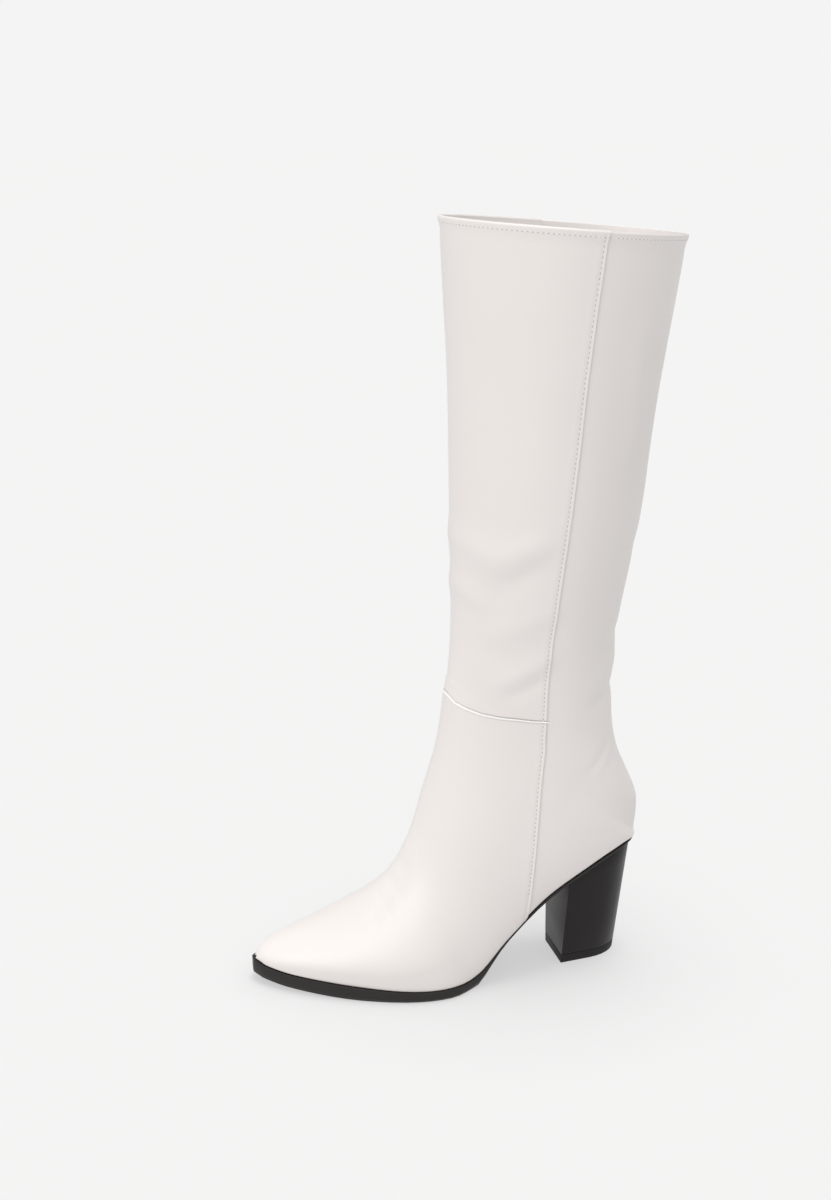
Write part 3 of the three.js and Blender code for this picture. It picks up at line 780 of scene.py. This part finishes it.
# Shares of a column where the fold starts and ends, and the leather's length inside in millimetres
RIM = 0.93
FOLD_END = 0.985
TURNED_IN = 9.0

TAPE_COLOUR = [0.80, 0.76, 0.73]
TEETH_COLOUR = [0.86, 0.83, 0.80]
ENAMEL_COLOUR = [0.88, 0.86, 0.84]
TIP_COLOUR = [0.014, 0.012, 0.012]


def edge_v(u, line, share):
    """v of an edge at u. Away from the edge itself its sudden turns are evened out."""
    window = np.hanning(31)
    even = np.convolve(np.pad(line, 15, mode="edge"), window / window.sum(), "valid")
    calm = np.interp(u, EDGE_STATIONS, even)
    return calm + (np.interp(u, EDGE_STATIONS, line) - calm) * np.abs(share) ** 5


def front_v(u, share):
    """v on a section of the front, from the inner edge at -1 to the outer edge at 1."""
    outer = edge_v(u, FRONT_OUTER, share)
    inner = edge_v(u, FRONT_INNER, share)
    return np.where(share >= 0, share * outer, -share * inner)


def closer(share):
    """Shares of a row of columns that stand closer together towards both edges."""
    return np.sign(share) * (1 - (1 - np.abs(share)) ** 1.7)


def over_collar(v_of, past, out):
    """Points that climb to the collar, fold over its edge and go down inside. past is the distance
    beyond the edge along the leather, and v_of gives v at a u."""
    bend = math.pi * FOLD_RADIUS
    below = np.where(past <= 0, -past, np.maximum(past - bend, 0))
    u = collar_u(below)
    v = v_of(u)
    turn = np.clip(past / FOLD_RADIUS, 0, math.pi)
    plain = surface(u, v)
    direction, along = normals(u, v)
    relief = creases(plain, v) + flare(u)
    radius = FOLD_RADIUS + out
    rise = radius * np.sin(turn)
    across = relief + out - radius * (1 - np.cos(turn))
    return plain + direction * across[..., None] + along * rise[..., None] + SHIFT


def collar_u(below):
    """u at a distance below the collar's edge."""
    per_section = SHAFT_HEIGHT * (SHAFT_ROWS[-1][2] - SHAFT_ROWS[-2][2])
    return COLLAR - (below + FOLD_RADIUS) / per_section


def climb_u(along, low):
    """u on a column that climbs from low to the collar."""
    return low + (collar_u(0.0) - low) * np.clip(along / RIM, 0, 1)


def fold_over(along, wall, v_of, out):
    """Points of a panel's wall, and of its top folded over the collar's edge."""
    past = np.clip((along - RIM) / (FOLD_END - RIM), 0, 1) * (math.pi * FOLD_RADIUS)
    past = past + np.clip((along - FOLD_END) / (1 - FOLD_END), 0, 1) * TURNED_IN
    return np.where((along <= RIM)[:, None], wall, over_collar(v_of, past, out))


def finish_panel(piece):
    """Thickness, shading and leather of a panel of the upper."""
    thicken(piece, sizes().leather_thickness)
    soften(piece, 0, smooth_angle=50)
    finish_piece(piece, boot_leather(), "leather", "upper")


def edge_shape(distance, depth, reach):
    """Drop of the leather near a turned edge: depth at the edge, zero beyond reach."""
    return -depth * np.clip(1 - distance / reach, 0, 1) ** 2


def front_relief(v, plain):
    """Height of the front panels near their edges and stitch rows."""
    ahead = -behind_seam(plain) - np.where(v < 0, zip_gap(plain[..., 2]), 0)
    near = np.abs(v) > 0.2
    lap = 0.3 * np.exp(-(((ahead - 0.9) / 0.6) ** 2))
    edge = np.where(near, edge_shape(np.maximum(ahead, 0), 0.5, 0.7) + lap, 0)
    row = np.where(near, -0.16 * np.exp(-(((ahead - sizes().stitch_inset) / 0.8) ** 2)), 0)
    puff = np.where(near, 0.12 * np.exp(-(((ahead - 4.6) / 1.6) ** 2)), 0)
    joint = edge_shape(np.abs(over_joint(plain)), 1.0, 1.7) * (np.abs(v) < 0.62)
    return edge + row + puff + joint


class BOOT_OT_vamp(bpy.types.Operator):
    """Vamp from the toe to the piping and the side seams"""

    bl_idname = "boot.vamp"
    bl_label = "Vamp"

    def execute(self, context):
        def shape(across, along):
            share = closer(2 * across - 1)
            reach = joint_u(share)
            u = reach * along**0.85
            v = front_v(u, share)
            return leather_points(u, v, front_relief(v, surface(u, v)))

        piece = clean(grid_sheet("vamp", 150, 190, shape))
        finish_panel(piece)
        return {"FINISHED"}


def joint_u(share):
    """u of the joint of vamp and shaft on a column of the front."""
    def rising(u):
        return over_joint(surface(u, front_v(u, share)))

    return root(rising, np.full(share.shape, 9.0), np.full(share.shape, 18.0))


class BOOT_OT_front(bpy.types.Operator):
    """Front panel of the shaft, from the piping over the collar's edge"""

    bl_idname = "boot.front"
    bl_label = "Front panel"

    def execute(self, context):
        def shape(across, along):
            share = closer(2 * across - 1)
            u = climb_u(along, joint_u(share))
            v = front_v(u, share)
            wall = leather_points(u, v, front_relief(v, surface(u, v)))
            return fold_over(along, wall, lambda at: front_v(at, share), 0.0)

        piece = clean(grid_sheet("front_panel", 130, 260, shape))
        finish_panel(piece)
        return {"FINISHED"}


class BOOT_OT_back(bpy.types.Operator):
    """Back panel round the heel, in one piece from seam to seam"""

    bl_idname = "boot.back"
    bl_label = "Back panel"

    def execute(self, context):
        low = 8.0
        strip = 0.06

        def back_v(u, share):
            outer = edge_v(u, BACK_OUTER, share)
            inner = edge_v(u, BACK_INNER, share)
            return np.where(
                share >= 0, 1 + (outer - 1) * np.abs(share), -1 + (inner + 1) * np.abs(share)
            )

        def shape_of(side):
            def shape(across, along):
                share = side * np.clip((across - strip) / (1 - strip), 1e-9, 1)
                u = climb_u(along, low)
                v = back_v(u, share)
                plain = surface(u, v)
                gap = behind_seam(plain) - zip_gap(plain[..., 2])
                by_zip = (v < 0) & (zip_gap(plain[..., 2]) > 1)
                edge = np.where(by_zip, edge_shape(np.maximum(gap, 0), 0.3, 1.0), 0)
                at_seat = smooth(u, SEAT - 2.2, SEAT - 1.4) * smooth(-u, -SEAT - 2.0, -SEAT - 0.5)
                hem = smooth(np.abs(v), 0.75, 0.97) * at_seat
                wall = leather_points(u, v, edge - PANEL_LAP + (PANEL_LAP + HEM_SINK) * hem)
                middle = middle_line(SHIFT[1] - wall[:, 1]) + SHIFT[0]
                under = smooth(u, SEAT - 0.9, SEAT - 0.5) * np.clip(1 - across / strip, 0, 1)
                wall[:, 0] += (middle - wall[:, 0]) * under
                return fold_over(along, wall, lambda at: back_v(at, share), -PANEL_LAP)

            return shape

        outer = grid_sheet("back_panel", 68, 300, shape_of(1))
        inner = grid_sheet("back_inner", 68, 300, shape_of(-1))
        deselect()
        inner.select_set(True)
        outer.select_set(True)
        bpy.context.view_layer.objects.active = outer
        bpy.ops.object.join()
        piece = clean(outer, 0.00015)
        relax(piece, lambda points: (
            smooth(points[:, 2], 86, 91) * smooth(-points[:, 2], -140, -115)
            * smooth(points[:, 1], SHIFT[1] - 75, SHIFT[1] - 50)
        ), 90)
        finish_panel(piece)
        return {"FINISHED"}


class BOOT_OT_lining(bpy.types.Operator):
    """Lining of the hollow"""

    bl_idname = "boot.lining"
    bl_label = "Lining"

    def execute(self, context):
        start = 2.2
        end = float(collar_u(5.0))

        def shape(across, along):
            v = 2 * across - 1
            u = start + (end - start) * along
            return leather_points(u, v, np.full(u.shape, -LINING_DEPTH), folded=False)

        piece = clean(grid_sheet("lining", 110, 150, shape))
        thicken(piece, 0.3)
        soften(piece, 0, smooth_angle=50)
        material = leather("Lining Leather", list(colours().lining), 0.55, 1900.0, 0.12)
        finish_piece(piece, material, "leather", "upper")
        return {"FINISHED"}


def path_on(u, v, out):
    """Points and outward directions along a line on the leather."""
    direction, _ = normals(u, v)
    return leather_points(u, v, np.zeros(np.shape(u)) + out), direction


def tube(name, points, outs, radius, sides=14):
    """Round tube along a path, with rounded ends. radius gives its radius at a share of the way."""
    along = unit(np.gradient(points, axis=0))
    beside = unit(np.cross(along, outs))
    over = np.cross(beside, along)
    count = len(points)

    def shape(across, share):
        place = share * (count - 1)
        low = np.clip(np.floor(place).astype(int), 0, count - 2)
        t = (place - low)[:, None]
        angle = across * 2 * math.pi
        ends = np.minimum(share, 1 - share) * (count - 1)
        size = radius(share) * np.sqrt(np.clip(1 - (1 - np.clip(ends / 1.5, 0, 1)) ** 2, 0.02, 1))
        centre, side, top = (
            rows[low] * (1 - t) + rows[low + 1] * t for rows in (points, beside, over)
        )
        return centre + size[:, None] * (
            side * np.cos(angle)[:, None] + top * np.sin(angle)[:, None]
        )

    piece = grid_sheet(name, sides, count * 2, shape)
    clean(piece)
    return close_ends(piece)


class BOOT_OT_piping(bpy.types.Operator):
    """Raised white piping between vamp and shaft"""

    bl_idname = "boot.piping"
    bl_label = "Piping"

    def execute(self, context):
        share = np.linspace(-0.985, 1.04, 141)
        u = joint_u(np.clip(share, -1, 1))
        v = front_v(u, np.clip(share, -1, 1)) * np.maximum(share, 1)
        points, outs = path_on(u, v, 0.2 - PANEL_LAP * smooth(share, 0.998, 1.014))
        full = sizes().piping_radius

        def radius(at):
            return full * (1 - 0.35 * smooth(at, 0.6, 1))

        piece = tube("ankle_piping_cord", points, outs, radius)
        soften(piece, 0, smooth_angle=60)
        material = leather("Piping Leather", list(colours().piping), 0.32, 1700.0, 0.08)
        finish_piece(piece, material, "trim", "ankle_piping")
        return {"FINISHED"}


def stitch_line(name, u, v, out, tilt=0.1, length=1.6):
    """Row of thread stitches, with dark beads between them whose colour is painted shade in the needle
    holes.
    """
    points, outs = path_on(u, v, out)
    pitch = sizes().stitch_pitch
    centres, alongs, ups = resample(points, outs, pitch)
    thread = repeat(f"{name}_thread", bead(length, 0.42, 0.36), centres, alongs, ups, tilt)
    activate(thread)
    bpy.ops.object.shade_smooth()
    finish_piece(thread, fabric("Thread", list(colours().piping)), "trim")
    half = alongs * pitch / 2
    # Painted shade: small dark beads set into the leather between the stitches stand in for the shade
    # in the needle holes
    holes = repeat(f"{name}_holes", bead(1.3, 0.32, 0.2), centres + half - 0.05 * ups, alongs, ups)
    activate(holes)
    bpy.ops.object.shade_smooth()
    finish_piece(holes, moulded("Needle Hole Shade", list(colours().hole_shade), 0.8), "trim")


class BOOT_OT_stitches(bpy.types.Operator):
    """Stitch rows along the side seams, the zip and the collar"""

    bl_idname = "boot.stitches"
    bl_label = "Stitch rows"

    def execute(self, context):
        inset = sizes().stitch_inset
        groove = -0.06
        u = np.linspace(8.7, float(collar_u(4.0)), 420)
        stitch_line("outer_seam", u, seam_v(u, 1, -inset), groove)
        u = np.linspace(float(seam_u(ZIP_TOP + 6.0, -1)), float(collar_u(4.0)), 300)
        stitch_line("inner_seam", u, seam_v(u, -1, -inset), groove)
        u = np.linspace(9.3, float(seam_u(ZIP_TOP - 1.0, -1)), 240)
        edge = inset + ZIP_OPENING / 2 - 0.4
        stitch_line("zip_front", u, seam_v(u, -1, -edge), groove, tilt=0.7, length=2.0)
        stitch_line("zip_back", u, seam_v(u, -1, edge), groove - PANEL_LAP)
        drop = float(collar_u(sizes().collar_drop))
        share = np.linspace(-1, 1, 300)
        around = np.full(share.shape, drop)
        stitch_line("collar_front", around, front_v(around, share), 0.02)
        outer = float(np.interp(drop, EDGE_STATIONS, FRONT_OUTER)) + 0.012
        inner = float(np.interp(drop, EDGE_STATIONS, FRONT_INNER)) - 0.012
        v = np.linspace(outer, 2 + inner, 240)
        v = np.where(v > 1, v - 2, v)
        stitch_line("collar_back", np.full(v.shape, drop), v, 0.02 - PANEL_LAP)
        return {"FINISHED"}


def zip_sheet(name, low, high, near, far, out, columns, rows):
    """Strip of the zip between two heights and two distances behind the seam line."""
    first, last = seam_u(np.array([low, high], float), -1)

    def shape(across, along):
        u = first + (last - first) * along
        distance = near + (far - near) * across
        v = seam_v(u, -1, lambda height: distance)
        return leather_points(u, v, out(across, along))

    return clean(grid_sheet(name, columns, rows, shape))


class BOOT_OT_zip_tapes(bpy.types.Operator):
    """Woven tapes of the zip"""

    bl_idname = "boot.zip_tapes"
    bl_label = "Zip tapes"

    def execute(self, context):
        reach = ZIP_OPENING / 2 + 1.2
        for node, side in (("zip_tape_front", -1), ("zip_tape_back", 1)):
            near, far = sorted((side * 0.5, side * reach))

            def out(across, along):
                ribs = 0.06 * np.sin(across * 26)
                return ribs - TAPE_DEPTH

            piece = zip_sheet(f"{node}_weave", ZIP_FOOT - 1, ZIP_TOP - 0.5, near, far, out, 22, 150)
            thicken(piece, 0.5)
            soften(piece, 0, smooth_angle=40)
            finish_piece(piece, fabric("Zip Tape", TAPE_COLOUR), "tape", node)
        return {"FINISHED"}


class BOOT_OT_zip_teeth(bpy.types.Operator):
    """Closed row of teeth, alternately from the front and the back tape"""

    bl_idname = "boot.zip_teeth"
    bl_label = "Zip teeth"

    def execute(self, context):
        heights = np.linspace(ZIP_FOOT - 0.5, ZIP_TOP - SLIDER_DROP - 1, 240)
        u = seam_u(heights, -1)
        v = seam_v(u, -1, 0.0)
        points, outs = path_on(u, v, -TAPE_DEPTH + 0.35)
        centres, alongs, ups = resample(points, outs, sizes().tooth_pitch)
        beside = np.cross(ups, alongs)
        turn = np.where(np.arange(len(centres)) % 2 == 0, 1, -1)[:, None]
        deselect()
        bpy.ops.mesh.primitive_cube_add(size=1)
        tooth = bpy.context.object
        edit_whole(tooth)
        bpy.ops.transform.resize(
            value=(0.78 * MM, 2.3 * MM, 1.1 * MM), center_override=(0, 0, 0)
        )
        bpy.ops.mesh.bevel(offset=0.22 * MM, segments=2, affect="EDGES")
        bpy.ops.object.mode_set(mode="OBJECT")
        piece = repeat("zip_teeth_row", tooth, centres + beside * turn * 0.55, alongs, ups)
        soften(piece, 0, smooth_angle=40)
        material = moulded("Zip Teeth", TEETH_COLOUR, 0.35, coat=0.2)
        finish_piece(piece, material, "teeth", "zip_teeth")
        return {"FINISHED"}


class BOOT_OT_zip_slider(bpy.types.Operator):
    """Slider at the top of the closed zip, and its swinging pull tab"""

    bl_idname = "boot.zip_slider"
    bl_label = "Zip slider and pull"

    def execute(self, context):
        enamel = moulded("White Enamel", ENAMEL_COLOUR, 0.28, coat=0.35, strength=0.03)
        slider = soften(frame_copy("zip_slider", "slider_body"), 0.28, 3, 30)
        finish_piece(slider, enamel, "slider", "zip_slider")
        pull = soften(frame_copy("zip_pull", "pull_tab"), 0.14, 2, 40)
        finish_piece(pull, enamel, "slider", "zip_pull", body="zip_pull")
        return {"FINISHED"}


class BOOT_OT_zip_flap(bpy.types.Operator):
    """Small leather fold over the top end of the zip"""

    bl_idname = "boot.zip_flap"
    bl_label = "Zip flap"

    def execute(self, context):
        half = ZIP_OPENING / 2 + 1.6

        def out(across, along):
            side = np.clip(1 - (2 * across - 1) ** 2, 0, 1) ** 0.4
            end = np.clip(1 - (2 * along - 1) ** 2, 0, 1) ** 0.35
            return -1.2 + 2.1 * side * end

        piece = zip_sheet("zip_flap", ZIP_TOP - 1.5, ZIP_TOP + 6.5, -half, half, out, 28, 28)
        thicken(piece, 0.6)
        soften(piece, 0, smooth_angle=50)
        finish_piece(piece, boot_leather(), "leather")
        return {"FINISHED"}


class BOOT_OT_sole(bpy.types.Operator):
    """Outsole with its edge, heel, heel tip and insole"""

    bl_idname = "boot.sole"
    bl_label = "Sole and heel"

    def execute(self, context):
        rubber = moulded("Sole Edge", list(colours().sole), 0.42, 0, 700.0, 0.2, 0.3)
        outsole = soften(frame_copy("outsole", "outsole_form"), 0.35, 3, 25, 30)
        finish_piece(outsole, rubber, "sole", "outsole")
        gloss = moulded("Heel Lacquer", list(colours().heel), 0.3, 0.03, 500.0, 0.05, 0.2)
        heel = soften(frame_copy("heel", "heel_block"), 0.5, 3, 40, 30)
        finish_piece(heel, gloss, "heel", "heel")
        tip_rubber = moulded("Heel Tip", TIP_COLOUR, 0.5, 0, 700.0, 0.2, 0.25)
        tip = soften(frame_copy("heel_tip", "heel_top_piece"), 0.2, 2, 40, 30)
        finish_piece(tip, tip_rubber, "heel_tip", "heel_tip")
        sock = leather("Sock Leather", list(colours().lining), 0.6, 1700.0, 0.15)
        insole = soften(frame_copy("insole", "insole_sock"), 0.6, 3, 40, 40)
        finish_piece(insole, sock, "sock", "insole")
        return {"FINISHED"}


CAMERA_PLACE = (817.05, -358.23, 510.80)
CAMERA_YAW = 1.3331
CAMERA_PITCH = 0.3066
CAMERA_ROLL = -0.0151
FOCAL_PIXELS = 1521.25
PHOTO_WIDTH = 831
PHOTO_HEIGHT = 1200
PHOTO_CENTRE = (385.87, 600.06)


# Light of the surroundings, tone of the backdrop, and each light panel's direction, power, spread.
# The first panel lights the boot alone, the second one the floor too.
WORLD_LIGHT = 0.63
BACKDROP = 0.905
FLOOR_SHADE = 0.37
SUNS = (((0.5, -0.6, 0.62), 1.38, 50), ((0.0, 0.1, 1.0), 1.3, 24))


def camera_matrix():
    """Place and directions of the camera."""
    yaw, pitch, roll = CAMERA_YAW, CAMERA_PITCH, CAMERA_ROLL
    back = Vector((
        math.sin(yaw) * math.cos(pitch), -math.cos(yaw) * math.cos(pitch), math.sin(pitch)
    ))
    right = Vector((math.cos(yaw), math.sin(yaw), 0))
    up = back.cross(right)
    turned_right = math.cos(roll) * right + math.sin(roll) * up
    turned_up = -math.sin(roll) * right + math.cos(roll) * up
    matrix = Matrix((turned_right, turned_up, back)).transposed().to_4x4()
    matrix.translation = Vector(np.array(CAMERA_PLACE) + SHIFT) * MM
    return matrix


def soft_sun(name, towards, power, spread, tint, without):
    """Even light from a direction, as from a wide panel far away. It can leave out one object."""
    data = bpy.data.lights.new(name, "SUN")
    light = bpy.data.objects.new(name, data)
    data.energy = power
    data.angle = math.radians(spread)
    data.color = tint
    if without:
        apart = bpy.data.collections.new(f"{name} leaves out")
        apart.objects.link(without)
        light.light_linking.receiver_collection = apart
        apart.collection_objects[0].light_linking.link_state = "EXCLUDE"
    light.rotation_euler = Vector(towards).to_track_quat("Z", "Y").to_euler()
    bpy.context.scene.collection.objects.link(light)


def studio_world():
    """Even white surroundings, seen by the camera in the backdrop's tone."""
    world = bpy.data.worlds.new("Studio")
    world.use_nodes = True
    tree = world.node_tree
    sky = tree.nodes["Background"]
    path = add(tree, "ShaderNodeLightPath")
    level = add(tree, "ShaderNodeMapRange")
    level.inputs["To Min"].default_value = WORLD_LIGHT
    level.inputs["To Max"].default_value = BACKDROP
    tree.links.new(path.outputs["Is Camera Ray"], level.inputs["Value"])
    tree.links.new(level.outputs["Result"], sky.inputs["Strength"])
    sky.inputs["Color"].default_value = (1, 1, 1, 1)
    return world


class BOOT_OT_stage(bpy.types.Operator):
    """Pale floor, soft studio light and the camera"""

    bl_idname = "boot.stage"
    bl_label = "Stage"

    def execute(self, context):
        deselect()
        bpy.ops.mesh.primitive_plane_add(size=60, location=(0, 0, 0))
        floor = bpy.context.object
        floor.name = "floor"
        material = bpy.data.materials.new("Studio Floor")
        material.use_nodes = True
        shader = material.node_tree.nodes["Principled BSDF"]
        shader.inputs["Base Color"].default_value = (FLOOR_SHADE, FLOOR_SHADE, FLOOR_SHADE, 1)
        shader.inputs["Roughness"].default_value = 1
        shader.inputs["Specular IOR Level"].default_value = 0
        shader.inputs["Emission Color"].default_value = (1, 1, 1, 1)
        lit = WORLD_LIGHT + SUNS[1][1] * Vector(SUNS[1][0]).normalized().z / math.pi
        shader.inputs["Emission Strength"].default_value = BACKDROP - FLOOR_SHADE * lit
        floor.data.materials.append(material)
        context.scene.world = studio_world()
        context.scene.view_settings.view_transform = "Standard"
        for i, (way, power, spread) in enumerate(SUNS):
            soft_sun(f"Panel {i + 1}", way, power, spread, (1, 0.99, 0.98), None if i else floor)
        data = bpy.data.cameras.new("Photo Camera")
        data.sensor_fit = "VERTICAL"
        data.sensor_height = 36
        data.lens = 36 * FOCAL_PIXELS / PHOTO_HEIGHT
        data.shift_x = (PHOTO_WIDTH / 2 - PHOTO_CENTRE[0]) / PHOTO_HEIGHT
        data.shift_y = (PHOTO_CENTRE[1] - PHOTO_HEIGHT / 2) / PHOTO_HEIGHT
        data.clip_end = 50
        camera = bpy.data.objects.new("Photo Camera", data)
        camera.matrix_world = camera_matrix()
        context.scene.collection.objects.link(camera)
        context.scene.camera = camera
        return {"FINISHED"}


PIECE_OPERATORS = (
    BOOT_OT_stage,
    BOOT_OT_vamp,
    BOOT_OT_front,
    BOOT_OT_back,
    BOOT_OT_lining,
    BOOT_OT_piping,
    BOOT_OT_stitches,
    BOOT_OT_zip_tapes,
    BOOT_OT_zip_teeth,
    BOOT_OT_zip_slider,
    BOOT_OT_zip_flap,
    BOOT_OT_sole,
)


class BOOT_PT_pieces(bpy.types.Panel):
    """Pieces, sizes and colours of the boot"""

    bl_label = "Block Heel Boot"
    bl_idname = "BOOT_PT_pieces"
    bl_space_type = "VIEW_3D"
    bl_region_type = "UI"
    bl_category = "Boot"

    def draw(self, context):
        for operator in PIECE_OPERATORS:
            self.layout.operator(operator.bl_idname)
        for group in (context.scene.boot_sizes, context.scene.boot_colours):
            for name in group.__annotations__:
                self.layout.prop(group, name)


CLASSES = (BootSizes, BootColours, *PIECE_OPERATORS, BOOT_PT_pieces)


def register():
    """Registers the classes and the scene's settings."""
    for item in CLASSES:
        bpy.utils.register_class(item)
    bpy.types.Scene.boot_sizes = PointerProperty(type=BootSizes)
    bpy.types.Scene.boot_colours = PointerProperty(type=BootColours)


def unregister():
    """Removes the classes and the scene's settings."""
    del bpy.types.Scene.boot_colours
    del bpy.types.Scene.boot_sizes
    for item in reversed(CLASSES):
        bpy.utils.unregister_class(item)


def main():
    """Builds every piece in order."""
    register()
    for operator in PIECE_OPERATORS:
        getattr(bpy.ops.boot, operator.bl_idname.split(".")[1])()
    deselect()


if __name__ == "__main__":
    main()
